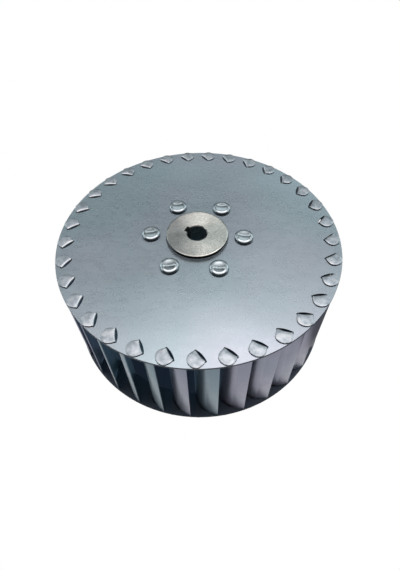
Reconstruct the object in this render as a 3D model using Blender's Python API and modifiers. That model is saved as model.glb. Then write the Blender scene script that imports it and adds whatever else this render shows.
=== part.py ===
"""Radial fan impeller: a forward-curved sheet-metal drum wheel on a keyed hub.

The wheel lies on its inlet side with the back plate up. The origin is on the
axis, at the level of the folded tabs that it rests on. Sizes are in metres.
"""
import math

import bmesh
import bpy
from mathutils import Matrix, Vector

# Driving dimensions
WHEEL_RADIUS = 0.100
DRUM_HEIGHT = 0.0778
BLADE_COUNT = 33
SHEET = 0.0015
BLADE_SHEET = 0.0010
FIT_GAP = 0.0003

BLADE_ARC_RADIUS = 0.0173
BLADE_TIP_RADIUS = 0.0992
TIP_LEAN = math.radians(76.6)
INNER_LEAN = math.radians(2.0)
FIRST_TIP_ANGLE = math.radians(-83.96)

TAB_OUTER_LEAN = math.radians(49.0)
TAB_INNER_LEAN = math.radians(18.6)
TAB_LENGTH = 0.0086
# How far out along the tab each row lies, and its width there, as shares
TAB_OUTLINE = ((0.64, 1.0), (0.88, 0.84), (1.0, 0.48))
TAB_COLUMNS = 3
BEND_RADIUS = 0.0006
SLOT_BULGE = 0.0017
SLOT_END_ROOM = 0.0004

RING_BORE_RADIUS = 0.083

HUB_RADIUS = 0.0218
HUB_STANDS_PROUD = 0.0035
HUB_BARREL_RADIUS = 0.0200
HUB_BARREL_LENGTH = 0.026
HUB_CHAMFER = 0.0006
FLANGE_RADIUS = 0.042
FLANGE_THICKNESS = 0.004
BORE_RADIUS = 0.007
KEYWAY_WIDTH = 0.005
KEYWAY_TOP = 0.0093
KEYWAY_ANGLE = math.radians(149.0)

RIVET_COUNT = 6
RIVET_CIRCLE_RADIUS = 0.0332
FIRST_RIVET_ANGLE = math.radians(174.7)
RIVET_SHANK_RADIUS = 0.0030
RIVET_HEAD_RADIUS = 0.0063
RIVET_HEAD_HEIGHT = 0.0026
RIVET_TAIL_RADIUS = 0.0048
RIVET_TAIL_HEIGHT = 0.0024
RIVET_TAIL_CHAMFER = 0.001
# The head's outline from its top to its seat, as shares of radius and height
RIVET_HEAD_PROFILE = ((0.0, 1.0), (0.62, 0.9), (0.92, 0.55), (1.0, 0.15), (0.98, 0.0))

RIM_POINTS = 132
HUB_STEPS = 48
RIVET_STEPS = 16
RIVET_HOLE_POINTS = 12
SHARP_ANGLE = math.radians(50)
CUTTER_REACH = 0.005
MERGE_DISTANCE = 0.00001

# Levels worked out from them
RING_UNDER = BLADE_SHEET + FIT_GAP
RING_TOP = RING_UNDER + SHEET
PLATE_TOP = RING_UNDER + DRUM_HEIGHT
PLATE_UNDER = PLATE_TOP - SHEET
FLANGE_TOP = PLATE_UNDER - FIT_GAP
FLANGE_UNDER = FLANGE_TOP - FLANGE_THICKNESS
PITCH = 2 * math.pi / BLADE_COUNT


def clear_scene():
    for obj in list(bpy.data.objects):
        bpy.data.objects.remove(obj, do_unlink=True)


def new_collection(name):
    collection = bpy.data.collections.new(name)
    bpy.context.scene.collection.children.link(collection)
    return collection


def new_material(name, color, metallic, roughness):
    material = bpy.data.materials.new(name)
    material.use_nodes = True
    shader = material.node_tree.nodes["Principled BSDF"]
    shader.inputs["Base Color"].default_value = (*color, 1.0)
    shader.inputs["Metallic"].default_value = metallic
    shader.inputs["Roughness"].default_value = roughness
    return material


def add_object(name, data, collection, material=None):
    obj = bpy.data.objects.new(name, data)
    collection.objects.link(obj)
    if material is not None:
        data.materials.append(material)
    return obj


def on_circle(radius, angle):
    return Vector((radius * math.cos(angle), radius * math.sin(angle)))


def circle(radius, count, center=(0.0, 0.0)):
    """Points evenly round a circle."""
    angles = [2 * math.pi * i / count for i in range(count)]
    return [Vector(center) + on_circle(radius, angle) for angle in angles]


def blade_point(lean):
    """A point of the blade's section, seen from above, with the tip on +Y.

    The section is one arc, and the lean is its angle to the tip's radius.
    """
    center = Vector((
        -BLADE_ARC_RADIUS * math.cos(TIP_LEAN),
        BLADE_TIP_RADIUS - BLADE_ARC_RADIUS * math.sin(TIP_LEAN),
    ))
    return center + BLADE_ARC_RADIUS * Vector((math.cos(lean), math.sin(lean)))


def tip_turn(index):
    """The turn about the axis that brings the tip from +Y to its place."""
    return FIRST_TIP_ANGLE - math.pi / 2 - index * PITCH


class TabFrame:
    """The straight fold between a tab's two ends, and the way it folds."""

    def __init__(self):
        inner = blade_point(TAB_INNER_LEAN)
        outer = blade_point(TAB_OUTER_LEAN)
        self.middle = (inner + outer) / 2
        self.along = (outer - inner).normalized()
        self.out = Vector((self.along.y, -self.along.x))
        self.half_width = (outer - inner).length / 2
        arc_middle = blade_point((TAB_INNER_LEAN + TAB_OUTER_LEAN) / 2)
        self.bulge = (arc_middle - self.middle).dot(self.out)

    def point(self, along, out):
        return self.middle + along * self.along + out * self.out


TAB = TabFrame()


def slot_outline():
    """A lens: a free arc on one side, and the neck's outer face on the other."""
    half = TAB.half_width + SLOT_END_ROOM
    side = BLADE_SHEET / 2 + FIT_GAP
    points = [TAB.point(-half, side), TAB.point(-half, -side)]
    for share in (-1 / 2, 0.0, 1 / 2):
        bulge = (SLOT_BULGE - side) * (1 - share * share)
        points.append(TAB.point(share * half, -side - bulge))
    points += [TAB.point(half, -side), TAB.point(half, side)]
    points += [TAB.point(share * half, side + TAB.bulge) for share in (1 / 3, -1 / 3)]
    return points


def turned(points, turn):
    spin = Matrix.Rotation(turn, 2)
    return [spin @ point for point in points]


def flat_sheet(name, outlines, under, thickness, collection, material):
    """A flat sheet: the first outline with all the others cut out of it."""
    curve = bpy.data.curves.new(name, "CURVE")
    curve.dimensions = "2D"
    curve.fill_mode = "BOTH"
    curve.extrude = thickness / 2
    for outline in outlines:
        spline = curve.splines.new("POLY")
        spline.points.add(len(outline) - 1)
        for point, place in zip(spline.points, outline):
            point.co = (place.x, place.y, 0.0, 1.0)
        spline.use_cyclic_u = True
    sheet = add_object(name, curve, collection, material)
    sheet.location.z = under + thickness / 2
    return sheet


def all_slots():
    return [turned(slot_outline(), tip_turn(i)) for i in range(BLADE_COUNT)]


def rivet_center(index):
    angle = FIRST_RIVET_ANGLE - index * 2 * math.pi / RIVET_COUNT
    return on_circle(RIVET_CIRCLE_RADIUS, angle)


def back_plate(collection, material):
    hub_hole = circle(HUB_RADIUS + FIT_GAP, HUB_STEPS)
    rivet_holes = [
        circle(RIVET_SHANK_RADIUS + FIT_GAP, RIVET_HOLE_POINTS, rivet_center(i))
        for i in range(RIVET_COUNT)
    ]
    outlines = [circle(WHEEL_RADIUS, RIM_POINTS), hub_hole, *rivet_holes, *all_slots()]
    flat_sheet("back_plate", outlines, PLATE_UNDER, SHEET, collection, material)


def inlet_ring(collection, material):
    rim = circle(WHEEL_RADIUS, RIM_POINTS)
    bore = circle(RING_BORE_RADIUS, BLADE_COUNT * 2)
    flat_sheet("inlet_ring", [rim, bore, *all_slots()], RING_UNDER, SHEET, collection, material)


def extrude_row(bm, edges, places):
    """Extrudes a chain of edges once and puts its new points in place."""
    order = chain_order(edges)
    new = bmesh.ops.extrude_edge_only(bm, edges=edges)["geom"]
    new_edges = [item for item in new if isinstance(item, bmesh.types.BMEdge)]
    partner = {}
    for vert in order:
        for edge in vert.link_edges:
            other = edge.other_vert(vert)
            if other in new and other not in partner.values():
                partner[vert] = other
    for vert, place in zip(order, places):
        partner[vert].co = place
    return [edge for edge in new_edges if all(v in partner.values() for v in edge.verts)]


def chain_order(edges):
    """The points of a chain of edges, from the end nearest the wheel's tip."""
    verts = {vert for edge in edges for vert in edge.verts}
    return sorted(verts, key=lambda vert: -(vert.co.xy.dot(TAB.along)))


def tab_rows(level, up):
    """The rows of a tab: the neck, the quarter bend and the flat lug.

    level is the outer face that the tab is folded onto, and up is 1 above the
    back plate and -1 under the inlet ring.
    """
    middle_radius = BEND_RADIUS + BLADE_SHEET / 2
    bend_start = level + up * (FIT_GAP - BEND_RADIUS)
    rows = [(0.0, bend_start, 1.0, TAB.bulge)]
    for share in (0.5, 1.0):
        angle = share * math.pi / 2
        out = middle_radius * (1 - math.cos(angle))
        rows.append((out, bend_start + up * middle_radius * math.sin(angle), 1.0, TAB.bulge))
    flat = bend_start + up * middle_radius
    for share, width in TAB_OUTLINE:
        rows.append((share * (TAB_LENGTH - TAB.bulge), flat, width, TAB.bulge))
    return rows


def row_places(row, shares):
    out, height, width, bulge = row
    places = []
    for share in shares:
        point = TAB.point(share * width * TAB.half_width, out + bulge * (1 - share * share))
        places.append(Vector((point.x, point.y, height)))
    return places


def blade_mesh():
    """The blade's sheet, with a tab folded outwards at each end."""
    tab_step = (TAB_OUTER_LEAN - TAB_INNER_LEAN) / TAB_COLUMNS
    leans = [TIP_LEAN, (TIP_LEAN + TAB_OUTER_LEAN) / 2]
    leans += [TAB_OUTER_LEAN - tab_step * i for i in range(TAB_COLUMNS + 1)]
    leans.append(INNER_LEAN)
    low = RING_TOP + FIT_GAP
    high = PLATE_UNDER - FIT_GAP
    bm = bmesh.new()
    foot = [bm.verts.new((*blade_point(lean), low)) for lean in leans]
    foot_edges = [bm.edges.new(pair) for pair in zip(foot, foot[1:])]
    head = [Vector((*blade_point(lean), high)) for lean in leans]
    head_edges = extrude_row(bm, foot_edges, head)
    shares = [1.0 - 2.0 * i / TAB_COLUMNS for i in range(TAB_COLUMNS + 1)]
    for chain, level, up in ((head_edges, PLATE_TOP, 1), (foot_edges, RING_UNDER, -1)):
        chain = [edge for edge in chain if on_tab(edge)]
        for row in tab_rows(level, up):
            chain = extrude_row(bm, chain, row_places(row, shares))
    bmesh.ops.recalc_face_normals(bm, faces=bm.faces)
    mesh = bpy.data.meshes.new("blade")
    bm.to_mesh(mesh)
    bm.free()
    mesh.shade_smooth()
    mesh.set_sharp_from_angle(angle=SHARP_ANGLE)
    return mesh


def on_tab(edge):
    """Whether an edge of the blade's end lies within the tab's width."""
    reach = TAB.half_width * 1.001
    ends = [(vert.co.xy - TAB.middle).dot(TAB.along) for vert in edge.verts]
    return all(abs(end) < reach for end in ends)


def blades(collection, material):
    mesh = blade_mesh()
    mesh.materials.append(material)
    for i in range(BLADE_COUNT):
        blade = add_object(f"blade_{i + 1:02d}", mesh, collection)
        blade.rotation_euler.z = tip_turn(i)
        solidify = blade.modifiers.new("sheet", "SOLIDIFY")
        solidify.thickness = BLADE_SHEET
        solidify.offset = 0.0
        solidify.use_even_offset = True


def screw_profile(name, points, steps, collection, material):
    """A closed profile in the XZ plane, turned once round the Z axis."""
    bm = bmesh.new()
    verts = [bm.verts.new((x, 0.0, z)) for x, z in points]
    for pair in zip(verts, verts[1:]):
        bm.edges.new(pair)
    if points[0][0] > 0:
        bm.edges.new((verts[-1], verts[0]))
    mesh = bpy.data.meshes.new(name)
    bm.to_mesh(mesh)
    bm.free()
    obj = add_object(name, mesh, collection, material)
    screw = obj.modifiers.new("turn", "SCREW")
    screw.axis = "Z"
    screw.steps = steps
    screw.render_steps = steps
    screw.use_merge_vertices = True
    screw.merge_threshold = MERGE_DISTANCE
    screw.use_smooth_shade = True
    return obj


def rivet_hole_cutter(index, cutters):
    """A cylinder through the flange that stays clear of the boss above it."""
    radius = RIVET_SHANK_RADIUS + FIT_GAP
    low = FLANGE_UNDER - CUTTER_REACH
    high = FLANGE_TOP + CUTTER_REACH
    bm = bmesh.new()
    bmesh.ops.create_cone(
        bm, cap_ends=True, segments=RIVET_HOLE_POINTS, radius1=radius, radius2=radius,
        depth=high - low,
    )
    bmesh.ops.translate(bm, verts=bm.verts, vec=(*rivet_center(index), (low + high) / 2))
    name = f"rivet_hole_{index + 1}"
    mesh = bpy.data.meshes.new(name)
    bm.to_mesh(mesh)
    bm.free()
    return add_cutter(name, mesh, cutters)


def keyway_cutter(low, high, cutters):
    depth = KEYWAY_TOP - BORE_RADIUS / 2
    bm = bmesh.new()
    bmesh.ops.create_cube(bm, size=1.0)
    bmesh.ops.scale(bm, verts=bm.verts, vec=(depth, KEYWAY_WIDTH, high - low))
    middle = (KEYWAY_TOP - depth / 2, 0.0, (low + high) / 2)
    bmesh.ops.translate(bm, verts=bm.verts, vec=middle)
    bmesh.ops.rotate(bm, verts=bm.verts, cent=(0, 0, 0), matrix=Matrix.Rotation(KEYWAY_ANGLE, 3, "Z"))
    mesh = bpy.data.meshes.new("keyway")
    bm.to_mesh(mesh)
    bm.free()
    return add_cutter("keyway", mesh, cutters)


def add_cutter(name, mesh, cutters):
    cutter = add_object(name, mesh, cutters)
    cutter.hide_render = True
    cutter.display_type = "WIRE"
    return cutter


def cut(obj, cutter):
    boolean = obj.modifiers.new(cutter.name, "BOOLEAN")
    boolean.operation = "DIFFERENCE"
    boolean.solver = "EXACT"
    boolean.object = cutter


def hub(collection, cutters, material):
    top = PLATE_TOP + HUB_STANDS_PROUD
    bottom = FLANGE_UNDER - HUB_BARREL_LENGTH
    edge = HUB_CHAMFER
    profile = [
        (BORE_RADIUS, top - edge),
        (BORE_RADIUS + edge, top),
        (HUB_RADIUS - edge, top),
        (HUB_RADIUS, top - edge),
        (HUB_RADIUS, FLANGE_TOP),
        (FLANGE_RADIUS, FLANGE_TOP),
        (FLANGE_RADIUS, FLANGE_UNDER),
        (HUB_BARREL_RADIUS, FLANGE_UNDER),
        (HUB_BARREL_RADIUS, bottom + edge),
        (HUB_BARREL_RADIUS - edge, bottom),
        (BORE_RADIUS + edge, bottom),
        (BORE_RADIUS, bottom + edge),
    ]
    obj = screw_profile("hub", profile, HUB_STEPS, collection, material)
    cut(obj, keyway_cutter(bottom - CUTTER_REACH, top + CUTTER_REACH, cutters))
    for i in range(RIVET_COUNT):
        cut(obj, rivet_hole_cutter(i, cutters))


def rivets(collection, material):
    seat = PLATE_TOP + FIT_GAP
    tail = FLANGE_UNDER - FIT_GAP
    profile = [
        (share * RIVET_HEAD_RADIUS, seat + height * RIVET_HEAD_HEIGHT)
        for share, height in RIVET_HEAD_PROFILE
    ]
    profile += [
        (RIVET_SHANK_RADIUS, seat),
        (RIVET_SHANK_RADIUS, tail),
        (RIVET_TAIL_RADIUS, tail),
        (RIVET_TAIL_RADIUS - RIVET_TAIL_CHAMFER, tail - RIVET_TAIL_HEIGHT),
        (0.0, tail - RIVET_TAIL_HEIGHT),
    ]
    for i in range(RIVET_COUNT):
        rivet = screw_profile(f"rivet_{i + 1}", profile, RIVET_STEPS, collection, material)
        rivet.location = (*rivet_center(i), 0.0)


def main():
    clear_scene()
    wheel = new_collection("radial_fan_impeller")
    cutters = new_collection("cutters")
    cutters.hide_render = True
    plate_steel = new_material("galvanised_sheet", (0.50, 0.53, 0.56), 1.0, 0.42)
    blade_steel = new_material("blade_sheet", (0.46, 0.48, 0.52), 1.0, 0.38)
    hub_steel = new_material("turned_hub", (0.58, 0.54, 0.48), 1.0, 0.35)
    rivet_steel = new_material("rivet_steel", (0.60, 0.60, 0.58), 1.0, 0.35)
    back_plate(wheel, plate_steel)
    inlet_ring(wheel, plate_steel)
    hub(wheel, cutters, hub_steel)
    rivets(wheel, rivet_steel)
    blades(wheel, blade_steel)


main()
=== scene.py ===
import math

import bmesh
import bpy
from mathutils import Matrix, Vector


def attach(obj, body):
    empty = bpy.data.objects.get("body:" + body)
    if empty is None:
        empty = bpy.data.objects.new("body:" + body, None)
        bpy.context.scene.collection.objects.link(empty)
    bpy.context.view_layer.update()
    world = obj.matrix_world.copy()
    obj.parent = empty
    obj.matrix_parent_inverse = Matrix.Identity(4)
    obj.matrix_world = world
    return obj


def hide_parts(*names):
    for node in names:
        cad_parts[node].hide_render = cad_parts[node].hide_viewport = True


# The drum wheel as a studio piece: back plate, inlet ring, blades, hub and rivets.
# Everything is in metres, with the axis on Z and the inlet side down.

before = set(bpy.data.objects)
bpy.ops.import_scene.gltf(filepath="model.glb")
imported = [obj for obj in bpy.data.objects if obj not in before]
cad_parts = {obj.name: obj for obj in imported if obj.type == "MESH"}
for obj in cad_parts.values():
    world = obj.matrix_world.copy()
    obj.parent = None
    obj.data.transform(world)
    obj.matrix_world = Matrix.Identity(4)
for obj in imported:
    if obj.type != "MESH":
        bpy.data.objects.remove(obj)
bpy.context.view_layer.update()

up = Vector((0, 0, 1))
mm = 0.001
nearlyNothing = 1e-6         # metres within which two places are one
flatNormal = 0.9999          # how upright the normal of a flat face stands
noiseSpan = (0.3, 0.7)       # where a noise has most of its values
edgeSteps = 2                # segments across a rounded edge

wheel = {
    "radius": 0.100,
    "bladeCount": 33,
    "sheet": 0.0015,
    "plateTop": 0.0791,      # outer face of the back plate
    "ringUnder": 0.0010,     # outer face of the inlet ring
    "fitGap": 0.0003,
    "firstTip": -83.96,      # degrees, the blade nearest the front
}


def onArc(centre, radius, degrees):
    angle = math.radians(degrees)
    return Vector((centre[0] + radius * math.cos(angle), centre[1] + radius * math.sin(angle), 0))


def bladeTurn(index):
    # turn that brings the blade drawn with its tip on +Y to its own place
    degrees = wheel["firstTip"] - 90 - index * 360 / wheel["bladeCount"]
    return Matrix.Rotation(math.radians(degrees), 3, "Z")


def madeObject(name, bm, *materials):
    mesh = bpy.data.meshes.new(name)
    bm.to_mesh(mesh)
    bm.free()
    for material in materials:
        mesh.materials.append(material)
    obj = bpy.data.objects.new(name, mesh)
    bpy.context.scene.collection.objects.link(obj)
    return obj


def seated(obj, slot, *nodes):
    # rides on the wheel's one body and stands for its CAD nodes
    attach(obj, "root")
    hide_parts(*nodes)


def sharpAroundFlats(bm):
    # smooth everywhere, but the big flat faces keep their own normal
    for face in bm.faces:
        face.smooth = True
    for edge in bm.edges:
        flats = [abs(face.normal.z) > flatNormal for face in edge.link_faces]
        if any(flats) and not all(flats):
            edge.smooth = False


def sharpEdges(bm, degrees):
    limit = math.radians(degrees)
    return [edge for edge in bm.edges if len(edge.link_faces) == 2 and edge.calc_face_angle() > limit]


def arcFrom(bm, vert, centre, degrees, steps):
    # swings a vertex about a centre, drawing an arc of edges; gives its last vertex
    spun = bmesh.ops.spin(
        bm, geom=[vert], cent=centre, axis=up, dvec=(0, 0, 0),
        angle=math.radians(degrees), steps=steps,
    )
    return spun["geom_last"][0]


def newMaterial(name):
    material = bpy.data.materials.new(name)
    material.use_nodes = True
    tree = material.node_tree
    return material, tree, tree.nodes["Principled BSDF"]


def mapped(tree, scale=(1, 1, 1), turn=(0, 0, 0)):
    coords = tree.nodes.new("ShaderNodeTexCoord")
    mapping = tree.nodes.new("ShaderNodeMapping")
    mapping.inputs["Scale"].default_value = scale
    mapping.inputs["Rotation"].default_value = [math.radians(angle) for angle in turn]
    tree.links.new(coords.outputs["Object"], mapping.inputs["Vector"])
    return mapping.outputs["Vector"]


def noise(tree, vector, scale, detail=3.0, roughness=0.5):
    node = tree.nodes.new("ShaderNodeTexNoise")
    node.inputs["Scale"].default_value = scale
    node.inputs["Detail"].default_value = detail
    node.inputs["Roughness"].default_value = roughness
    tree.links.new(vector, node.inputs["Vector"])
    return node.outputs["Fac"]


def spangle(tree, vector, scale):
    # a random grey for each crystal of the zinc coat
    node = tree.nodes.new("ShaderNodeTexVoronoi")
    node.inputs["Scale"].default_value = scale
    tree.links.new(vector, node.inputs["Vector"])
    grey = tree.nodes.new("ShaderNodeSeparateColor")
    tree.links.new(node.outputs["Color"], grey.inputs["Color"])
    return grey.outputs["Red"]


def ranged(tree, value, low, high, outLow, outHigh):
    # carries a value from one range to another, held at its ends
    node = tree.nodes.new("ShaderNodeMapRange")
    node.inputs["From Min"].default_value = low
    node.inputs["From Max"].default_value = high
    node.inputs["To Min"].default_value = outLow
    node.inputs["To Max"].default_value = outHigh
    tree.links.new(value, node.inputs["Value"])
    return node.outputs["Result"]


def spread(tree, value, outLow, outHigh):
    return ranged(tree, value, *noiseSpan, outLow, outHigh)


def added(tree, first, second, operation="ADD"):
    node = tree.nodes.new("ShaderNodeMath")
    node.operation = operation
    tree.links.new(first, node.inputs[0])
    tree.links.new(second, node.inputs[1])
    return node.outputs["Value"]


def tinted(tree, factor, dark, light):
    node = tree.nodes.new("ShaderNodeMix")
    node.data_type = "RGBA"
    node.inputs["A"].default_value = (*dark, 1)
    node.inputs["B"].default_value = (*light, 1)
    tree.links.new(factor, node.inputs["Factor"])
    return node.outputs["Result"]


def blended(tree, factor, first, second):
    node = tree.nodes.new("ShaderNodeMix")
    node.data_type = "RGBA"
    tree.links.new(factor, node.inputs["Factor"])
    tree.links.new(first, node.inputs["A"])
    tree.links.new(second, node.inputs["B"])
    return node.outputs["Result"]


def glazed(tree, colour, glaze):
    # lays a thin tint over a colour
    node = tree.nodes.new("ShaderNodeMix")
    node.data_type = "RGBA"
    node.blend_type = "MULTIPLY"
    node.inputs["Factor"].default_value = 1.0
    tree.links.new(colour, node.inputs["A"])
    tree.links.new(glaze, node.inputs["B"])
    return node.outputs["Result"]


def along(tree, vector, axis):
    # one coordinate of a place
    parts = tree.nodes.new("ShaderNodeSeparateXYZ")
    tree.links.new(vector, parts.inputs["Vector"])
    return parts.outputs[axis]


def fromAxis(tree, vector):
    # the way out from the wheel's axis to a place, with its height left out
    flat = tree.nodes.new("ShaderNodeVectorMath")
    flat.operation = "MULTIPLY"
    flat.inputs[1].default_value = (1, 1, 0)
    tree.links.new(vector, flat.inputs[0])
    return flat.outputs["Vector"]


def radiusOf(tree, vector):
    radius = tree.nodes.new("ShaderNodeVectorMath")
    radius.operation = "LENGTH"
    tree.links.new(fromAxis(tree, vector), radius.inputs[0])
    return radius.outputs["Value"]


def bumped(tree, height, strength, distance, normal=None):
    node = tree.nodes.new("ShaderNodeBump")
    if normal:
        tree.links.new(normal, node.inputs["Normal"])
    node.inputs["Strength"].default_value = strength
    node.inputs["Distance"].default_value = distance
    tree.links.new(height, node.inputs["Height"])
    return node.outputs["Normal"]


# patterns that the zinc coat has on every sheet, with what each adds to the shade
zincCoat = {
    "rolled": {"scale": (1, 1.8, 1), "turn": (0, 0, 8)},         # the way that the grain runs
    "drifting": {"scale": (0.5, 1, 1), "turn": (0, 0, 4)},       # and the clouds
    "clouds": (-0.15, 0.85),
    "spangleScale": 420,
    "spangle": 0.09,
    "grainScale": 160,
    "grain": 0.12,
    "grainLevels": (0.25, 0.75),       # of the grain, from smooth to rough
    "speckleScale": 800,
    "filmLevels": (0.38, 0.62),        # where one tint gives way to the other
    "reliefDepth": 0.05 * mm,
}
plateFinish = {
    "metallic": 1.0,
    "dark": (0.306, 0.376, 0.420),
    "light": (0.386, 0.470, 0.524),
    "tints": ((0.950, 1.005, 1.005), (1.040, 0.990, 1.020)),     # teal and lilac of the passivated zinc
    "tintScale": 12,
    "roughness": (0.25, 0.31),
    "speckle": 0.05,
    "cloudScale": 20,
    "relief": 0.04,
}
# the same zinc-coated sheet as the plate, painted much darker: painted shade
ringShadedFinish = {
    "metallic": 0.5,
    "dark": (0.052, 0.072, 0.100),
    "light": (0.072, 0.096, 0.130),
    "tints": ((0.95, 1.01, 1.01), (1.04, 0.99, 1.02)),
    "tintScale": 12,
    "roughness": (0.32, 0.45),
    "speckle": 0.16,
    "cloudScale": 14,
    "relief": 0.12,
}
# walls and lugs of one sheet: the walls painted darker as painted shade, the lugs lighter as painted light
bladeFinish = {
    "metallic": 0.75,        # the dull zinc scatters a little, so the gaps aren't black
    "dark": (0.166, 0.174, 0.220),
    "light": (0.206, 0.216, 0.268),
    "tints": ((0.97, 1.01, 1.01), (1.03, 0.99, 1.02)),
    "tintScale": 24,
    "roughness": (0.30, 0.40),
    "speckle": 0.16,
    "cloudScale": 14,
    "relief": 0.12,
    "lugDark": (0.270, 0.330, 0.375),      # lugs painted lighter than the walls of the same sheet: painted light
    "lugLight": (0.480, 0.555, 0.610),
    "lugWorn": (0.49, 0.545, 0.575),
    "lugLevels": (0.0789, 0.0793),         # heights between which a blade turns into its lug
    "dentScale": 260,
    "dentLevels": (0.35, 0.65),
    "dentRelief": 6,
    "wornScale": 190,
    "wornLevels": (0.56, 0.68),
    "foldPaintedHighlight": (0.76, 0.84, 0.89),       # painted highlight where the sheet turns over
    "foldShare": 0.8,
    "foldLevels": (0.07976, 0.07986),
}
# blades cut from another coil, with a greener film
greenBladeFinish = dict(bladeFinish)
greenBladeFinish["dark"] = (0.118, 0.168, 0.192)
greenBladeFinish["light"] = (0.148, 0.210, 0.240)


def sheetSteel(name, finish):
    material, tree, shader = newMaterial(name)
    plain = mapped(tree)
    rolled = mapped(tree, **zincCoat["rolled"])
    drifting = mapped(tree, **zincCoat["drifting"])
    clouds = noise(tree, drifting, finish["cloudScale"], detail=4, roughness=0.55)
    crystals = spangle(tree, plain, zincCoat["spangleScale"])
    grain = noise(tree, rolled, zincCoat["grainScale"], detail=2, roughness=0.6)
    speckle = noise(tree, plain, zincCoat["speckleScale"], detail=1)
    flowers = ranged(tree, crystals, 0, 1, 0, zincCoat["spangle"])
    shade = added(tree, spread(tree, clouds, *zincCoat["clouds"]), flowers)
    shade = added(tree, shade, spread(tree, grain, 0, zincCoat["grain"]))
    shade = added(tree, shade, spread(tree, speckle, -finish["speckle"], finish["speckle"]))
    colour = tinted(tree, shade, finish["dark"], finish["light"])
    tintOverlay = ranged(tree, noise(tree, plain, finish["tintScale"], detail=1), *zincCoat["filmLevels"], 0, 1)
    colour = glazed(tree, colour, tinted(tree, tintOverlay, *finish["tints"]))
    relief = grain
    if "lugLevels" not in finish:
        shader.inputs["Metallic"].default_value = finish["metallic"]
    else:
        # the lugs take a lighter copy of the sheet: painted light
        onLug = ranged(tree, along(tree, plain, "Z"), *finish["lugLevels"], 0, 1)
        dents = noise(tree, plain, finish["dentScale"], detail=3, roughness=0.6)
        colour = blended(tree, onLug, colour, paintedLitLug(tree, plain, dents, finish))
        dented = added(tree, onLug, spread(tree, dents, 0, finish["dentRelief"]), "MULTIPLY")
        relief = added(tree, relief, dented)
        tree.links.new(ranged(tree, onLug, 0, 1, finish["metallic"], 1), shader.inputs["Metallic"])
    tree.links.new(colour, shader.inputs["Base Color"])
    rough = ranged(tree, grain, *zincCoat["grainLevels"], *finish["roughness"])
    tree.links.new(rough, shader.inputs["Roughness"])
    tree.links.new(bumped(tree, relief, finish["relief"], zincCoat["reliefDepth"]), shader.inputs["Normal"])
    return material


def paintedLitLug(tree, plain, dents, finish):
    # dented and worn on top, painted lighter than the walls as painted light, with a painted highlight
    # along the fold
    depth = ranged(tree, dents, *finish["dentLevels"], 0, 1)
    litLug = tinted(tree, depth, finish["lugDark"], finish["lugLight"])
    worn = ranged(tree, noise(tree, plain, finish["wornScale"], detail=2), *finish["wornLevels"], 0, 1)
    litLug = blended(tree, worn, litLug, tinted(tree, dents, finish["lugWorn"], finish["lugLight"]))
    paintedHighlight = tinted(tree, dents, finish["foldPaintedHighlight"], finish["lugLight"])
    atFold = ranged(tree, along(tree, plain, "Z"), *finish["foldLevels"], finish["foldShare"], 0)
    return blended(tree, atFold, litLug, paintedHighlight)


cutFinish = {
    "dark": (0.022, 0.028, 0.036),
    "light": (0.045, 0.055, 0.068),
    "paintedLitBack": ((0.39, 0.46, 0.50), (0.45, 0.52, 0.56)),          # the far edges painted lighter: painted light
    "paintedLitFrom": (0.025, 0.060),            # metres along Y
    "paintedLitMetallic": 0.4,
    "roughness": (0.45, 0.65),
    "lineScale": 900,
    "lineStretch": (1, 1, 0.15),
    "relief": 0.2,
    "reliefDepth": 0.05 * mm,
}
# the ring's rim, nearly black
rimFinish = dict(cutFinish)
rimFinish["dark"] = (0.008, 0.010, 0.014)
rimFinish["light"] = (0.016, 0.020, 0.027)
rimFinish["paintedLitBack"] = ((0.018, 0.022, 0.030), (0.022, 0.028, 0.036))


def cutSteel(name, finish):
    # sheared edges, dull and drawn in fine lines across the sheet; nearly black in front, partly bare steel
    # and partly painted shade that makes the slots read dark, and painted lighter towards the back as
    # painted light
    material, tree, shader = newMaterial(name)
    lines = noise(tree, mapped(tree, scale=finish["lineStretch"]), finish["lineScale"], detail=3)
    paintedLitBack = ranged(tree, along(tree, mapped(tree), "Y"), *finish["paintedLitFrom"], 0, 1)
    bareAndShaded = tinted(tree, lines, finish["dark"], finish["light"])
    colour = blended(tree, paintedLitBack, bareAndShaded, tinted(tree, lines, *finish["paintedLitBack"]))
    tree.links.new(colour, shader.inputs["Base Color"])
    tree.links.new(spread(tree, lines, *finish["roughness"]), shader.inputs["Roughness"])
    tree.links.new(bumped(tree, lines, finish["relief"], finish["reliefDepth"]), shader.inputs["Normal"])
    tree.links.new(ranged(tree, paintedLitBack, 0, 1, 1, finish["paintedLitMetallic"]), shader.inputs["Metallic"])
    return material


hubFinish = {
    "dark": (0.515, 0.560, 0.535),
    "light": (0.765, 0.815, 0.780),
    "ringScale": 1500,                     # turning marks, across the radius
    "rings": (0, 0.3),                     # what they add to the shade
    "blotchScale": 120,
    "blotches": (0, 0.5),
    "pitScale": 900,
    "pits": (-0.25, 0.45),
    "shaded": ((0.019, 0.026, 0.031), (0.025, 0.034, 0.041)),    # the side, painted dark: painted shade
    # the bore's inside, painted dark: painted shade
    "boreShade": ((0.039, 0.057, 0.064), (0.049, 0.071, 0.080)),
    "side": (0.02160, 0.02172),            # radii between which the face turns into the side
    "proud": (0.0794, 0.0801),             # the side is painted dark from here up
    "bore": (0.00705, 0.00715),
    "foot": ((0.37, 0.43, 0.47), (0.43, 0.49, 0.53)),            # where it meets the plate, painted light so that the plate mirrors a thinner dark band under the side: painted light
    "footLevels": (0.0798, 0.0802),
    "dullMetallic": 0.1,                   # of the foot and the bore
    "roughness": (0.21, 0.29),
    "anisotropic": 0.82,
    "anisotropicTurn": 0.25,
    "feedLean": -3.4,                      # degrees that the turned face's normals lean away from the axis
    "tintOverlay": (0.54, 0.54, 0.56),            # painted shade over the left half of the face
    "paintedShadeFrom": (0.004, -0.013),           # metres along X
    "relief": 0.08,
    "reliefDepth": 0.03 * mm,
}


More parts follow.
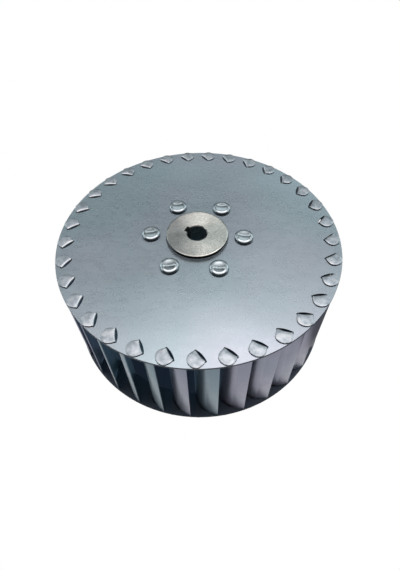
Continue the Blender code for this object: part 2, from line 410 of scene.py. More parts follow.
def leanedOut(tree, vector, degrees):
    # the surface's normal, leaned away from the wheel's axis
    outward = tree.nodes.new("ShaderNodeVectorMath")
    outward.operation = "NORMALIZE"
    tree.links.new(fromAxis(tree, vector), outward.inputs[0])
    step = tree.nodes.new("ShaderNodeVectorMath")
    step.operation = "SCALE"
    step.inputs["Scale"].default_value = math.tan(math.radians(degrees))
    tree.links.new(outward.outputs["Vector"], step.inputs[0])
    surface = tree.nodes.new("ShaderNodeNewGeometry")
    total = tree.nodes.new("ShaderNodeVectorMath")
    total.operation = "ADD"
    tree.links.new(surface.outputs["Normal"], total.inputs[0])
    tree.links.new(step.outputs["Vector"], total.inputs[1])
    return total.outputs["Vector"]


def turnedSteel(name, finish):
    material, tree, shader = newMaterial(name)
    plain = mapped(tree)
    radius = radiusOf(tree, plain)
    height = along(tree, plain, "Z")
    rings = noise(tree, radius, finish["ringScale"], detail=2)
    blotches = noise(tree, plain, finish["blotchScale"], detail=4)
    pits = noise(tree, plain, finish["pitScale"], detail=2, roughness=0.7)
    shade = added(tree, spread(tree, rings, *finish["rings"]), spread(tree, blotches, *finish["blotches"]))
    shade = added(tree, shade, spread(tree, pits, *finish["pits"]))
    colour = tinted(tree, shade, finish["dark"], finish["light"])
    shadedHalf = ranged(tree, along(tree, plain, "X"), *finish["paintedShadeFrom"], 0, 1)
    colour = glazed(tree, colour, tinted(tree, shadedHalf, (1, 1, 1), finish["tintOverlay"]))
    atSide = ranged(tree, radius, *finish["side"], 0, 1)
    side = added(tree, atSide, ranged(tree, height, *finish["proud"], 0, 1), "MULTIPLY")
    colour = blended(tree, side, colour, tinted(tree, blotches, *finish["shaded"]))
    inside = ranged(tree, radius, *finish["bore"], 1, 0)
    colour = blended(tree, inside, colour, tinted(tree, blotches, *finish["boreShade"]))
    foot = added(tree, ranged(tree, height, *finish["footLevels"], 1, 0), atSide, "MULTIPLY")
    colour = blended(tree, foot, colour, tinted(tree, blotches, *finish["foot"]))
    tree.links.new(colour, shader.inputs["Base Color"])
    tree.links.new(spread(tree, blotches, *finish["roughness"]), shader.inputs["Roughness"])
    leaned = leanedOut(tree, plain, finish["feedLean"])
    grooved = bumped(tree, rings, finish["relief"], finish["reliefDepth"], leaned)
    tree.links.new(grooved, shader.inputs["Normal"])
    tangent = tree.nodes.new("ShaderNodeTangent")
    tangent.direction_type = "RADIAL"
    tangent.axis = "Z"
    tree.links.new(tangent.outputs["Tangent"], shader.inputs["Tangent"])
    dull = added(tree, foot, inside, "MAXIMUM")
    tree.links.new(ranged(tree, dull, 0, 1, 1, finish["dullMetallic"]), shader.inputs["Metallic"])
    shader.inputs["Anisotropic"].default_value = finish["anisotropic"]
    shader.inputs["Anisotropic Rotation"].default_value = finish["anisotropicTurn"]
    return material


rivetFinish = {
    "dark": (0.405, 0.490, 0.530),
    "light": (0.525, 0.620, 0.665),
    "markScale": 700,
    "roughness": (0.085, 0.125),
    "footShade": ((0.020, 0.027, 0.032), (0.045, 0.055, 0.062)),
    "footShadeLevels": (0.07995, 0.08015),     # painted shade round the foot of the head
    "waveScale": 160,
    "relief": 0.02,
    "reliefDepth": 0.1 * mm,
}


def rivetSteel(name, finish):
    material, tree, shader = newMaterial(name)
    plain = mapped(tree)
    marks = noise(tree, plain, finish["markScale"], detail=3)
    # painted shade round the foot of the head
    unshaded = ranged(tree, along(tree, plain, "Z"), *finish["footShadeLevels"], 0, 1)
    steel = tinted(tree, marks, finish["dark"], finish["light"])
    colour = blended(tree, unshaded, tinted(tree, marks, *finish["footShade"]), steel)
    tree.links.new(colour, shader.inputs["Base Color"])
    tree.links.new(spread(tree, marks, *finish["roughness"]), shader.inputs["Roughness"])
    waves = noise(tree, plain, finish["waveScale"])
    tree.links.new(bumped(tree, waves, finish["relief"], finish["reliefDepth"]), shader.inputs["Normal"])
    shader.inputs["Metallic"].default_value = 1.0
    return material


blade = {
    "sheet": 0.0007,
    "arcRadius": 0.0173,
    "tipRadius": 0.0992,
    "tipLean": 76.6,         # degrees, where the arc ends at the rim
    "innerLean": 2.0,
    "tabOuterLean": 49.0,    # the part of the arc that carries the tab
    "tabInnerLean": 18.6,
    "tabSteps": 10,
    "freeSteps": 7,
    "bendRadius": 0.00095,   # to the middle of the sheet
    "bendSteps": 6,
    "foldStraight": 0.25,    # how far the fold pulls the neck's arc straight
    "lugGap": 0.00005,       # under a lug, which lies hammered down on the plate
    "lugCrown": 0.00018,     # how far its middle stands above its edges
    "crownRoom": 0.0006,     # by which the crown reaches past the lug's ends
    "crownPower": 4,         # the higher, the flatter on top
    "tabMargin": 0.1,        # degrees, when the edges that carry a tab are picked
    "edge": 0.00028,
    "bevelFrom": 50,         # degrees between faces
    "creaseFrom": 40,
    "cutNormal": 0.35,       # the faces of cut edges are more upright than this
    "greenOnes": (0, 2, 3, 4, 8, 9, 13, 17, 18, 22, 26),
    # rows of the lug in mm: out from the fold, its two sides along the fold, how far it is straight
    "lugRows": (
        (1.45, -0.22, 9.42, 0.10), (2.4, -0.42, 9.50, 0.30), (2.9, -0.48, 9.52, 0.45),
        (3.8, -0.52, 9.50, 0.65), (4.9, -0.40, 9.38, 0.85), (5.9, -0.05, 9.04, 1.0),
        (6.7, 0.50, 8.48, 1.0), (7.35, 1.25, 7.75, 1.0), (7.8, 2.15, 6.90, 1.0),
        (8.1, 3.05, 6.00, 1.0), (8.22, 3.95, 5.15, 1.0),
    ),
}
arcCentre = Vector((
    -blade["arcRadius"] * math.cos(math.radians(blade["tipLean"])),
    blade["tipRadius"] - blade["arcRadius"] * math.sin(math.radians(blade["tipLean"])),
    0,
))
foldInner = onArc(arcCentre, blade["arcRadius"], blade["tabInnerLean"])
foldOuter = onArc(arcCentre, blade["arcRadius"], blade["tabOuterLean"])
foldAlong = (foldOuter - foldInner).normalized()
foldOut = Vector((foldAlong.y, -foldAlong.x, 0))
foldWidth = (foldOuter - foldInner).length
foldBulge = (onArc(arcCentre, blade["arcRadius"], (blade["tabInnerLean"] + blade["tabOuterLean"]) / 2)
             - (foldInner + foldOuter) / 2).dot(foldOut)


def pushed(bm, edges, move):
    # extrudes a chain of edges by a move and gives the new chain
    geom = bmesh.ops.extrude_edge_only(bm, edges=edges)["geom"]
    verts = [item for item in geom if isinstance(item, bmesh.types.BMVert)]
    bmesh.ops.translate(bm, verts=verts, vec=move)
    return [
        item for item in geom
        if isinstance(item, bmesh.types.BMEdge) and all(vert in verts for vert in item.verts)
    ]


def stretched(edges, innerEnd, outerEnd):
    # draws a chain out along the fold, from one place to another
    verts = {vert for edge in edges for vert in edge.verts}
    places = {vert: (vert.co - foldInner).dot(foldAlong) for vert in verts}
    low = min(places.values())
    high = max(places.values())
    for vert, place in places.items():
        share = (place - low) / (high - low)
        vert.co += foldAlong * (innerEnd + (outerEnd - innerEnd) * share - place)


def foldTab(bm, edges, faceLevel, side):
    # neck, quarter bend, then the lug lying on the sheet; side is 1 above the plate, -1 under the ring
    bend = blade["bendRadius"]
    gap = blade["lugGap"] if side > 0 else faceLevel - blade["sheet"]    # the lower lugs reach the floor
    ridge = faceLevel + side * (gap + blade["sheet"] / 2)
    level = edges[0].verts[0].co.z
    edges = pushed(bm, edges, up * (ridge - side * bend - level))
    for vert in {vert for edge in edges for vert in edge.verts}:
        bulge = (vert.co - foldInner).dot(foldOut)
        vert.co += foldOut * (foldBulge / 2 - bulge) * blade["foldStraight"]
    steps = blade["bendSteps"]
    for step in range(steps):
        was = math.pi / 2 * step / steps
        now = math.pi / 2 * (step + 1) / steps
        out = bend * (math.cos(was) - math.cos(now))
        rise = bend * (math.sin(now) - math.sin(was))
        edges = pushed(bm, edges, foldOut * out + up * side * rise)
    reached = bend
    rows = []
    for out, innerEnd, outerEnd, straight in blade["lugRows"]:
        edges = pushed(bm, edges, foldOut * (out * mm - reached))
        stretched(edges, innerEnd * mm, outerEnd * mm)
        reached = out * mm
        for vert in {vert for edge in edges for vert in edge.verts}:
            bulge = (vert.co - foldInner).dot(foldOut) - reached
            vert.co += foldOut * (foldBulge / 2 - bulge) * straight
        rows.append((reached, {vert for edge in edges for vert in edge.verts}))
    if side > 0:
        crownLug(rows)


def crownLug(rows):
    # lifts the middle of the lug, so that light runs round its edges
    middle = (rows[0][0] + rows[-1][0]) / 2
    half = (rows[-1][0] - rows[0][0]) / 2 + blade["crownRoom"]
    power = blade["crownPower"]
    for reached, verts in rows:
        places = {vert: (vert.co - foldInner).dot(foldAlong) for vert in verts}
        low = min(places.values())
        high = max(places.values())
        for vert, place in places.items():
            across = 2 * (place - low) / (high - low) - 1
            lift = (1 - across ** power) * (1 - ((reached - middle) / half) ** power)
            vert.co += up * blade["lugCrown"] * lift


def leanOf(vert):
    away = vert.co - arcCentre
    return math.degrees(math.atan2(away.y, away.x))


def bladePattern(*materials):
    # one blade with its tip on +Y: an arc raised to a wall, with a tab folded at each end
    bm = bmesh.new()
    low = wheel["ringUnder"] + wheel["sheet"] + wheel["fitGap"]
    high = wheel["plateTop"] - wheel["sheet"] - wheel["fitGap"]
    start = onArc(arcCentre, blade["arcRadius"], blade["innerLean"])
    vert = bm.verts.new(start)
    stops = (blade["innerLean"], blade["tabInnerLean"], blade["tabOuterLean"], blade["tipLean"])
    counts = (blade["freeSteps"], blade["tabSteps"], blade["freeSteps"])
    for first, last, steps in zip(stops, stops[1:], counts):
        vert = arcFrom(bm, vert, arcCentre, last - first, steps)
    bmesh.ops.translate(bm, verts=bm.verts, vec=up * low)
    foot = bm.edges[:]
    head = pushed(bm, foot, up * (high - low))
    inner = blade["tabInnerLean"] - blade["tabMargin"]
    outer = blade["tabOuterLean"] + blade["tabMargin"]
    for edges, faceLevel, side in ((head, wheel["plateTop"], 1), (foot, wheel["ringUnder"], -1)):
        carried = [edge for edge in edges if all(inner < leanOf(vert) < outer for vert in edge.verts)]
        foldTab(bm, carried, faceLevel, side)
    bmesh.ops.recalc_face_normals(bm, faces=bm.faces)
    pattern = madeObject("bladePattern", bm, *materials)
    sheet = pattern.modifiers.new("sheet", "SOLIDIFY")
    sheet.thickness = blade["sheet"]
    sheet.offset = 0.0
    sheet.material_offset_rim = 1
    sheet.use_even_offset = False
    rounded = pattern.modifiers.new("edges", "BEVEL")
    rounded.width = blade["edge"]
    rounded.segments = edgeSteps
    rounded.limit_method = "ANGLE"
    rounded.angle_limit = math.radians(blade["bevelFrom"])
    finished = finishedMesh(pattern)
    bpy.data.objects.remove(pattern)
    return finished


def finishedMesh(obj):
    graph = bpy.context.evaluated_depsgraph_get()
    graph.update()
    return bpy.data.meshes.new_from_object(obj.evaluated_get(graph))


def makeBlades(plainSteel, greenSteel, edgeSteel):
    pattern = bladePattern(plainSteel, edgeSteel)
    under = wheel["ringUnder"]
    over = wheel["plateTop"]
    for index in range(wheel["bladeCount"]):
        bm = bmesh.new()
        bm.from_mesh(pattern)
        bmesh.ops.rotate(bm, verts=bm.verts, cent=(0, 0, 0), matrix=bladeTurn(index))
        for face in bm.faces:
            face.smooth = True
            upright = abs(face.normal.z) < blade["cutNormal"]
            onLug = not under < face.calc_center_median().z < over
            face.material_index = int(upright and onLug)     # only the lugs' cut edges are dull
        for edge in sharpEdges(bm, blade["creaseFrom"]):
            edge.smooth = False
        steel = greenSteel if index in blade["greenOnes"] else plainSteel
        obj = madeObject(f"blade{index + 1:02d}", bm, steel, edgeSteel)
        seated(obj, "blade_sheet", f"blade_{index + 1:02d}")
    print("blades made:", wheel["bladeCount"])


sheets = {
    "rimSteps": 264,
    "boreSteps": 198,
    "hubSteps": 96,
    "rivetSteps": 24,
    "slotBulge": 0.00110,    # free side of a slot, out from the fold
    "tightSlots": (25, 26),
    "tightBulge": 0.00045,   # the same for slots that closed up when their tabs were folded
    "slotCorner": 0.0003,    # how far the ends of that side stand out
    "slotEndRoom": 0.0004,
    "slotNeckRoom": 0.0008,  # from the middle of the neck to the wall that it folds over
    "slotSteps": 10,
    "ringBore": 0.083,
    "hubHole": 0.0221,
    "rivetHole": 0.0033,
    "edge": 0.00018,         # rolled edge left by the press
    "bevelFrom": 60,         # degrees between faces
    "cutNormal": 0.5,        # the faces of cut edges are more upright than this
}


def chordArc(bm, start, end, rise, steps):
    # an arc of edges from one place to another, rising to its left by a given amount
    chord = end - start
    half = chord.length / 2
    radius = (half * half + rise * rise) / (2 * rise)
    left = Vector((-chord.y, chord.x, 0)).normalized()
    centre = (start + end) / 2 - left * (radius - rise)
    sweep = 2 * math.degrees(math.asin(half / radius))
    first = bm.verts.new(start)
    return first, arcFrom(bm, first, centre, -sweep, steps)


def drawSlot(bm, index):
    half = foldWidth / 2 + sheets["slotEndRoom"]
    side = sheets["slotNeckRoom"]
    corner = sheets["slotCorner"]
    middle = (foldInner + foldOuter) / 2
    turn = bladeTurn(index)
    bulge = sheets["tightBulge"] if index in sheets["tightSlots"] else sheets["slotBulge"]

    def place(along, out):
        return turn @ (middle + foldAlong * along + foldOut * out)

    # seen from above, foldOut is to the right of foldAlong
    steps = sheets["slotSteps"]
    freeSide = chordArc(bm, place(-half, -corner), place(half, -corner), bulge - corner, steps)
    neckSide = chordArc(bm, place(half, side), place(-half, side), foldBulge, steps)
    bm.edges.new((freeSide[1], neckSide[0]))
    bm.edges.new((neckSide[1], freeSide[0]))


def drawCircle(bm, radius, steps, centre=(0, 0, 0)):
    bmesh.ops.create_circle(
        bm, cap_ends=False, segments=steps, radius=radius, matrix=Matrix.Translation(centre),
    )


def pressedSheet(name, bm, under, *materials):
    # fills the drawn outlines, thickens them and rolls the pressed edges
    for index in range(wheel["bladeCount"]):
        drawSlot(bm, index)
    bmesh.ops.triangle_fill(bm, use_beauty=True, use_dissolve=False, edges=bm.edges[:])
    top = bmesh.ops.extrude_face_region(bm, geom=bm.faces[:])["geom"]
    raised = [item for item in top if isinstance(item, bmesh.types.BMVert)]
    bmesh.ops.translate(bm, verts=raised, vec=up * wheel["sheet"])
    bmesh.ops.translate(bm, verts=bm.verts, vec=up * under)
    bmesh.ops.recalc_face_normals(bm, faces=bm.faces)
    level = [
        edge for edge in sharpEdges(bm, sheets["bevelFrom"])
        if abs(edge.verts[0].co.z - edge.verts[1].co.z) < nearlyNothing
    ]
    bmesh.ops.bevel(
        bm, geom=level, offset=sheets["edge"], offset_type="OFFSET", affect="EDGES",
        segments=edgeSteps, profile=0.5, material=-1, clamp_overlap=True,
    )
    sharpAroundFlats(bm)
    for face in bm.faces:
        if abs(face.normal.z) < sheets["cutNormal"]:
            face.material_index = 1
    return madeObject(name, bm, *materials)


def makeBackPlate(steel, edgeSteel):
    bm = bmesh.new()
    drawCircle(bm, wheel["radius"], sheets["rimSteps"])
    drawCircle(bm, sheets["hubHole"], sheets["hubSteps"])
    for index in range(rivet["count"]):
        drawCircle(bm, sheets["rivetHole"], sheets["rivetSteps"], rivetPlace(index))
    obj = pressedSheet("backPlate", bm, wheel["plateTop"] - wheel["sheet"], steel, edgeSteel)
    seated(obj, "plate_sheet", "back_plate")
    print("back plate made")


def makeInletRing(steel, edgeSteel):
    bm = bmesh.new()
    drawCircle(bm, wheel["radius"], sheets["rimSteps"])
    drawCircle(bm, sheets["ringBore"], sheets["boreSteps"])
    obj = pressedSheet("inletRing", bm, wheel["ringUnder"], steel, edgeSteel)
    seated(obj, "plate_sheet", "inlet_ring")
    print("inlet ring made")


hub = {
    "radius": 0.0218,
    "proud": 0.0035,
    "barrelRadius": 0.0200,
    "barrelLength": 0.026,
    "flangeRadius": 0.042,
    "flange": 0.004,
    "bore": 0.007,
    "chamfer": 0.0006,
    "ease": (0.0007, 0.00026),   # the face's outer edge, in and down
    "keyWidth": 0.005,
    "keyTop": 0.0093,
    "keyTurn": 149,          # degrees, where the keyway points
    "barHeight": 0.06,       # of the bar that cuts the keyway
    "barMiddle": 0.02,       # below the hub's top
    "pinLength": 0.008,      # of the pins that cut the rivet holes
    "steps": 128,
    "edge": 0.00012,
    "bevelFrom": 60,         # degrees between faces
    "creaseFrom": 30,
}


def hubProfile():
    # radius and height of each corner, from the bore's top round to its bottom
    top = wheel["plateTop"] + hub["proud"]
    flangeTop = wheel["plateTop"] - wheel["sheet"] - wheel["fitGap"]
    flangeUnder = flangeTop - hub["flange"]
    bottom = flangeUnder - hub["barrelLength"]
    cut = hub["chamfer"]
    easeIn, easeDown = hub["ease"]
    return (
        (hub["bore"], top - cut), (hub["bore"] + cut, top),
        (hub["radius"] - easeIn, top), (hub["radius"], top - easeDown),
        (hub["radius"], flangeTop), (hub["flangeRadius"] - cut, flangeTop),
        (hub["flangeRadius"], flangeTop - cut), (hub["flangeRadius"], flangeUnder + cut),
        (hub["flangeRadius"] - cut, flangeUnder), (hub["barrelRadius"], flangeUnder),
        (hub["barrelRadius"], bottom + cut), (hub["barrelRadius"] - cut, bottom),
        (hub["bore"] + cut, bottom), (hub["bore"], bottom + cut),
    )


def turnedBody(bm, profile, steps):
    # spins a closed outline once about the axis
    verts = [bm.verts.new((radius, 0, height)) for radius, height in profile]
    edges = [bm.edges.new(pair) for pair in zip(verts, verts[1:])]
    if profile[0][0] > 0:
        edges.append(bm.edges.new((verts[-1], verts[0])))
    bmesh.ops.spin(
        bm, geom=verts + edges, cent=(0, 0, 0), axis=up, dvec=(0, 0, 0),
        angle=math.tau, steps=steps, use_merge=True,
    )
    bmesh.ops.remove_doubles(bm, verts=bm.verts, dist=nearlyNothing)
    bmesh.ops.recalc_face_normals(bm, faces=bm.faces)


def hubCutter(material):
    # a bar for the keyway and a pin for each rivet hole
    bm = bmesh.new()
    depth = hub["keyTop"] - hub["bore"] / 2
    top = wheel["plateTop"] + hub["proud"]
    bar = bmesh.ops.create_cube(bm, size=1.0)["verts"]
    bmesh.ops.scale(bm, verts=bar, vec=(depth, hub["keyWidth"], hub["barHeight"]))
    bmesh.ops.translate(bm, verts=bar, vec=(hub["keyTop"] - depth / 2, 0, top - hub["barMiddle"]))
    bmesh.ops.rotate(
        bm, verts=bar, cent=(0, 0, 0), matrix=Matrix.Rotation(math.radians(hub["keyTurn"]), 3, "Z"),
    )
    flangeTop = wheel["plateTop"] - wheel["sheet"] - wheel["fitGap"]
    for index in range(rivet["count"]):
        pin = bmesh.ops.create_cone(
            bm, cap_ends=True, cap_tris=False, segments=sheets["rivetSteps"], radius1=sheets["rivetHole"],
            radius2=sheets["rivetHole"], depth=hub["pinLength"],
        )["verts"]
        bmesh.ops.translate(bm, verts=pin, vec=rivetPlace(index) + up * (flangeTop - hub["flange"] / 2))
    return madeObject("hubCutter", bm, material)


def makeHub(material):
    bm = bmesh.new()
    turnedBody(bm, hubProfile(), hub["steps"])
    blank = madeObject("hubBlank", bm, material)
    cutter = hubCutter(material)
    cut = blank.modifiers.new("cut", "BOOLEAN")
    cut.operation = "DIFFERENCE"
    cut.solver = "EXACT"
    cut.object = cutter
    rounded = blank.modifiers.new("edges", "BEVEL")
    rounded.width = hub["edge"]
    rounded.segments = edgeSteps
    rounded.limit_method = "ANGLE"
    rounded.angle_limit = math.radians(hub["bevelFrom"])
    bm = bmesh.new()
    bm.from_mesh(finishedMesh(blank))
    for helper in (blank, cutter):
        bpy.data.objects.remove(helper)
    sharpAroundFlats(bm)
    for edge in sharpEdges(bm, hub["creaseFrom"]):
        edge.smooth = False
    obj = madeObject("hubTurned", bm, material)
    seated(obj, "hub_steel", "hub")
    print("hub made")


rivet = {
    "count": 6,
    "circleRadius": 0.0332,
    "firstAngle": 174.7,     # degrees, the one on the left
    "steps": 48,
    "shank": 0.0030,
    "neck": 0.0003,          # where the head meets the shank, above the plate
    "creaseFrom": 45,        # degrees between faces
    # outline in mm, out from the axis and up from the plate's outer face
    "head": (
        (0.0, 2.22), (1.2, 2.240), (2.2, 2.288), (3.2, 2.363), (4.0, 2.443), (4.3, 2.470),
        (4.6, 2.480), (4.9, 2.462), (5.2, 2.406), (5.5, 2.322), (5.8, 2.203), (6.1, 2.030),
        (6.35, 1.805), (6.52, 1.50), (6.6, 1.05), (6.6, 0.50), (6.55, 0.32),
    ),
    # and down from the flange's inner face
    "tail": ((2.9, 0.0), (4.7, 0.3), (4.8, 0.5), (4.8, 1.5), (4.3, 2.2), (3.4, 2.6), (0.0, 2.7)),
}


def rivetPlace(index):
    degrees = rivet["firstAngle"] - index * 360 / rivet["count"]
    return onArc((0, 0), rivet["circleRadius"], degrees)


def makeRivets(material):
    flangeUnder = wheel["plateTop"] - wheel["sheet"] - wheel["fitGap"] - hub["flange"]
    head = [(out * mm, wheel["plateTop"] + rise * mm) for out, rise in rivet["head"]]
    tail = [(out * mm, flangeUnder - drop * mm) for out, drop in rivet["tail"]]
    profile = head + [(rivet["shank"], wheel["plateTop"] + rivet["neck"])] + tail
    for index in range(rivet["count"]):
        bm = bmesh.new()
        turnedBody(bm, profile, rivet["steps"])
        bmesh.ops.translate(bm, verts=bm.verts, vec=rivetPlace(index))
        for face in bm.faces:
            face.smooth = True
        for edge in sharpEdges(bm, rivet["creaseFrom"]):
            edge.smooth = False
        obj = madeObject(f"rivet{index + 1}", bm, material)
        seated(obj, "rivet_steel", f"rivet_{index + 1}")
    print("rivets made:", rivet["count"])


lightTable = {
    "size": 8.0,
    "steps": 8,
    "paper": ((0.2024, 0.22, 0.2464), (0.209, 0.2244, 0.2508)),
    "paintedShadow": ((0.017, 0.018, 0.019), (0.022, 0.022, 0.022)),     # painted shadow, hidden under the wheel's ring
    "paintedShadowRadius": (0.0975, 0.0990),
    "cloudScale": 3,
    "roughness": 0.9,
    "specular": 0.1,
    "glow": 0.97,            # the table's own light, as the steel mirrors it
    "slant": -26.6,          # degrees that the line of its right end is turned
    "fade": (0.0450, 0.0660),    # metres across that line where that light dies away: a painted shadow of the wheel on the table
    "back": (0.0, 0.08),         # and behind
    "far": 0.03,                 # what is left of it there
    # the painted shadow as seen, nearly black
    "paintedShadowGlow": (0.008, 0.014, 0.024),
    "paintedShadowMirrored": (0.064, 0.104, 0.150),      # painted light: what the drum's inside gets from the painted shadow's glow
}


def makeFloor():
    # a white light table with a painted shadow under the wheel; the steel mirrors it dimmer than it is
    # seen, with a painted shadow of the wheel to the right and behind
    bm = bmesh.new()
    steps = lightTable["steps"]
    bmesh.ops.create_grid(bm, x_segments=steps, y_segments=steps, size=lightTable["size"] / 2)
    material, tree, shader = newMaterial("studioFloorPaint")
    plain = mapped(tree)
    outside = ranged(tree, radiusOf(tree, plain), *lightTable["paintedShadowRadius"], 0, 1)
    shade = noise(tree, plain, lightTable["cloudScale"], detail=2)
    paintedShadow = tinted(tree, shade, *lightTable["paintedShadow"])
    paint = blended(tree, outside, paintedShadow, tinted(tree, shade, *lightTable["paper"]))
    tree.links.new(paint, shader.inputs["Base Color"])
    paintedShadowGlow = [light / lightTable["glow"] for light in lightTable["paintedShadowMirrored"]]
    tree.links.new(tinted(tree, outside, paintedShadowGlow, (1, 1, 1)), shader.inputs["Emission Color"])
    slanted = mapped(tree, turn=(0, 0, lightTable["slant"]))
    ends = (lightTable["glow"], lightTable["far"])
    mirrored = added(
        tree, ranged(tree, along(tree, slanted, "X"), *lightTable["fade"], *ends),
        ranged(tree, along(tree, plain, "Y"), *lightTable["back"], *ends), "MINIMUM",
    )
    tree.links.new(mirrored, shader.inputs["Emission Strength"])
    shader.inputs["Roughness"].default_value = lightTable["roughness"]
    shader.inputs["Specular IOR Level"].default_value = lightTable["specular"]
    seen = tree.nodes.new("ShaderNodeEmission")
    tree.links.new(tinted(tree, outside, lightTable["paintedShadowGlow"], (1, 1, 1)), seen.inputs["Color"])
    path = tree.nodes.new("ShaderNodeLightPath")
    either = tree.nodes.new("ShaderNodeMixShader")
    tree.links.new(path.outputs["Is Camera Ray"], either.inputs["Fac"])
    tree.links.new(shader.outputs["BSDF"], either.inputs[1])
    tree.links.new(seen.outputs["Emission"], either.inputs[2])
    tree.links.new(either.outputs["Shader"], tree.nodes["Material Output"].inputs["Surface"])
    floor = madeObject("studioFloor", bm, material)
    print("floor laid")


sky = {
    # height of a direction (its sine) and the light that comes from it
    "left": (
        (0.0, 0.05), (0.30, 0.08), (0.45, 0.20), (0.55, 0.90), (0.62, 0.80), (0.65, 0.46),
        (0.69, 0.12), (0.736, 0.05), (0.744, 2.00), (0.756, 2.00), (0.766, 0.20), (0.80, 0.34),
        (0.85, 0.80), (0.89, 1.98), (0.93, 2.08), (0.97, 1.90), (1.0, 1.45),
    ),
    "right": (
        (0.0, 0.05), (0.30, 0.08), (0.45, 0.20), (0.55, 0.80), (0.62, 1.20), (0.68, 0.48),
        (0.734, 0.12), (0.744, 2.15), (0.756, 2.15), (0.768, 0.38), (0.80, 0.74), (0.85, 1.66),
        (0.89, 2.68), (0.93, 2.38), (0.97, 1.95), (1.0, 1.45),
    ),
    "beside": (
        (0.0, 0.08), (0.15, 0.30), (0.30, 1.10), (0.45, 1.50), (0.60, 1.30), (0.70, 0.80),
        (0.80, 0.80), (0.90, 1.90), (1.0, 1.45),
    ),
    "before": ((0.0, 0.03), (0.50, 0.06), (0.75, 0.15), (0.93, 1.10), (1.0, 1.45)),
    "warmth": (0.70, 0.93),            # heights between which the light turns from cool to warm
    "cool": (0.97, 1.00, 1.00),
    "warm": (1.14, 0.995, 0.965),
    "across": (-0.11, 0.24),           # where left gives way to right, along X
    "turn": (-0.25, 0.15),             # where before gives way to behind, along Y
    "flanks": (0.44, 0.56),            # how far to either side the flanks' glow begins
    "flanksBehind": (0.35, 0.50),      # and how far behind, along Y
}


def skyRamp(tree, height, rows, peak):
    # the light of one side, from the horizon up
    ramp = tree.nodes.new("ShaderNodeValToRGB")
    tree.links.new(height, ramp.inputs["Fac"])
    stops = ramp.color_ramp.elements
    for number, (place, light) in enumerate(rows):
        stop = stops[number] if number < 2 else stops.new(place)
        stop.position = place
        stop.color = (light / peak, light / peak, light / peak, 1)
    return ramp.outputs["Color"]


def makeSky():
    world = bpy.data.worlds.new("studioLight")
    world.use_nodes = True
    bpy.context.scene.world = world
    tree = world.node_tree
    coords = tree.nodes.new("ShaderNodeTexCoord")
    parts = tree.nodes.new("ShaderNodeSeparateXYZ")
    tree.links.new(coords.outputs["Generated"], parts.inputs["Vector"])
    sides = [sky["left"], sky["right"], sky["beside"], sky["before"]]
    peak = max(light for rows in sides for place, light in rows)
    left, right, beside, before = (skyRamp(tree, parts.outputs["Z"], rows, peak) for rows in sides)
    behind = blended(tree, ranged(tree, parts.outputs["X"], *sky["across"], 0, 1), left, right)
    away = added(tree, parts.outputs["X"], parts.outputs["X"], "MULTIPLY")
    near, far = (edge * edge for edge in sky["flanks"])
    flank = added(
        tree, ranged(tree, away, near, far, 0, 1),
        ranged(tree, parts.outputs["Y"], *sky["flanksBehind"], 0, 1), "MULTIPLY",
    )
    behind = blended(tree, flank, behind, beside)
    light = blended(tree, ranged(tree, parts.outputs["Y"], *sky["turn"], 0, 1), before, behind)
    glow = tree.nodes["Background"]
    warmth = ranged(tree, parts.outputs["Z"], *sky["warmth"], 0, 1)
    tint = tinted(tree, warmth, sky["cool"], sky["warm"])
    tree.links.new(glazed(tree, light, tint), glow.inputs["Color"])
    glow.inputs["Strength"].default_value = peak
    print("sky made")


strayLight = {"place": (0, 0, 0.020), "radius": 0.03, "power": 0.19, "colour": (0.48, 0.78, 0.92)}


def makeStrayLight():
    # what finds its way into the drum through the inlet; only dull steel answers to it
    light = bpy.data.lights.new("strayLight", "POINT")
    light.energy = strayLight["power"]
    light.color = strayLight["colour"]
    light.shadow_soft_size = strayLight["radius"]
    lamp = bpy.data.objects.new("strayLight", light)
    lamp.location = strayLight["place"]
    lamp.visible_camera = False
    lamp.visible_glossy = False
    bpy.context.scene.collection.objects.link(lamp)


# soft boxes: middle, width along X, depth, brightness, and degrees turned towards the wheel
softBoxes = {
    "leftPanel": {"place": (-1.50, 0.10, 1.00), "size": (0.5, 0.9), "bright": 1.2, "tilt": -56},
    "rightPanel": {"place": (1.50, 0.10, 1.00), "size": (0.5, 0.9), "bright": 0.7, "tilt": 56},
}


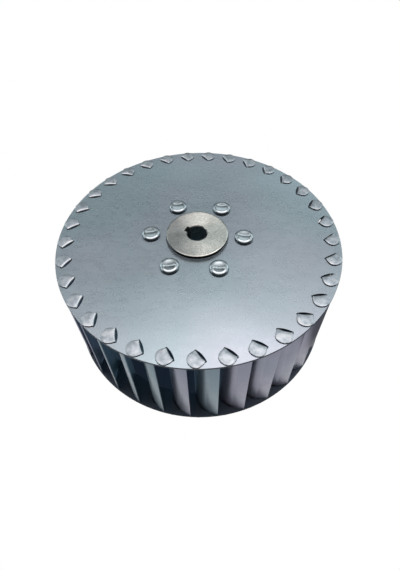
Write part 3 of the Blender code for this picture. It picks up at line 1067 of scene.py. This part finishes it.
def makeSoftBoxes():
    for name, box in softBoxes.items():
        light = bpy.data.lights.new(name, "AREA")
        light.shape = "RECTANGLE"
        light.size, light.size_y = box["size"]
        light.energy = box["bright"] * math.pi * light.size * light.size_y
        lamp = bpy.data.objects.new(name, light)
        lamp.location = box["place"]
        lamp.rotation_euler.y = math.radians(box["tilt"])
        lamp.visible_camera = False
        bpy.context.scene.collection.objects.link(lamp)
    print("lights hung:", len(softBoxes))


viewpoint = {
    "lens": 25.416,
    "place": (0.0, -0.19607, 0.28981),
    "aim": (-0.00476, -0.01273, 0.0791),
    "roll": -2.920,
    "shift": (0.01629, -0.06149),
    "clip": (0.01, 30),
}


def makeCamera():
    place = Vector(viewpoint["place"])
    toward = Vector(viewpoint["aim"]) - place
    data = bpy.data.cameras.new("camera")
    data.lens = viewpoint["lens"]
    data.shift_x, data.shift_y = viewpoint["shift"]
    data.clip_start, data.clip_end = viewpoint["clip"]
    camera = bpy.data.objects.new("camera", data)
    bpy.context.scene.collection.objects.link(camera)
    roll = Matrix.Rotation(math.radians(viewpoint["roll"]), 4, "Z")
    camera.matrix_world = (
        Matrix.Translation(place) @ toward.to_track_quat("-Z", "Y").to_matrix().to_4x4() @ roll
    )
    bpy.context.scene.camera = camera
    print("camera placed")


plateSteel = sheetSteel("plateSteel", plateFinish)
ringShadedSteel = sheetSteel("ringShadedSteel", ringShadedFinish)
bladeSteel = sheetSteel("bladeSteel", bladeFinish)
greenBladeSteel = sheetSteel("greenBladeSteel", greenBladeFinish)
hubSteel = turnedSteel("hubSteel", hubFinish)
rivetHeadSteel = rivetSteel("rivetHeadSteel", rivetFinish)
shearedSteel = cutSteel("shearedSteel", cutFinish)
ringRimSteel = cutSteel("ringRimSteel", rimFinish)
print("materials made")

makeCamera()
makeBackPlate(plateSteel, shearedSteel)
makeInletRing(ringShadedSteel, ringRimSteel)
makeBlades(bladeSteel, greenBladeSteel, shearedSteel)
makeHub(hubSteel)
makeRivets(rivetHeadSteel)
makeFloor()
makeSky()
makeSoftBoxes()
makeStrayLight()
bpy.context.scene.view_settings.view_transform = "Standard"
print("studio made")
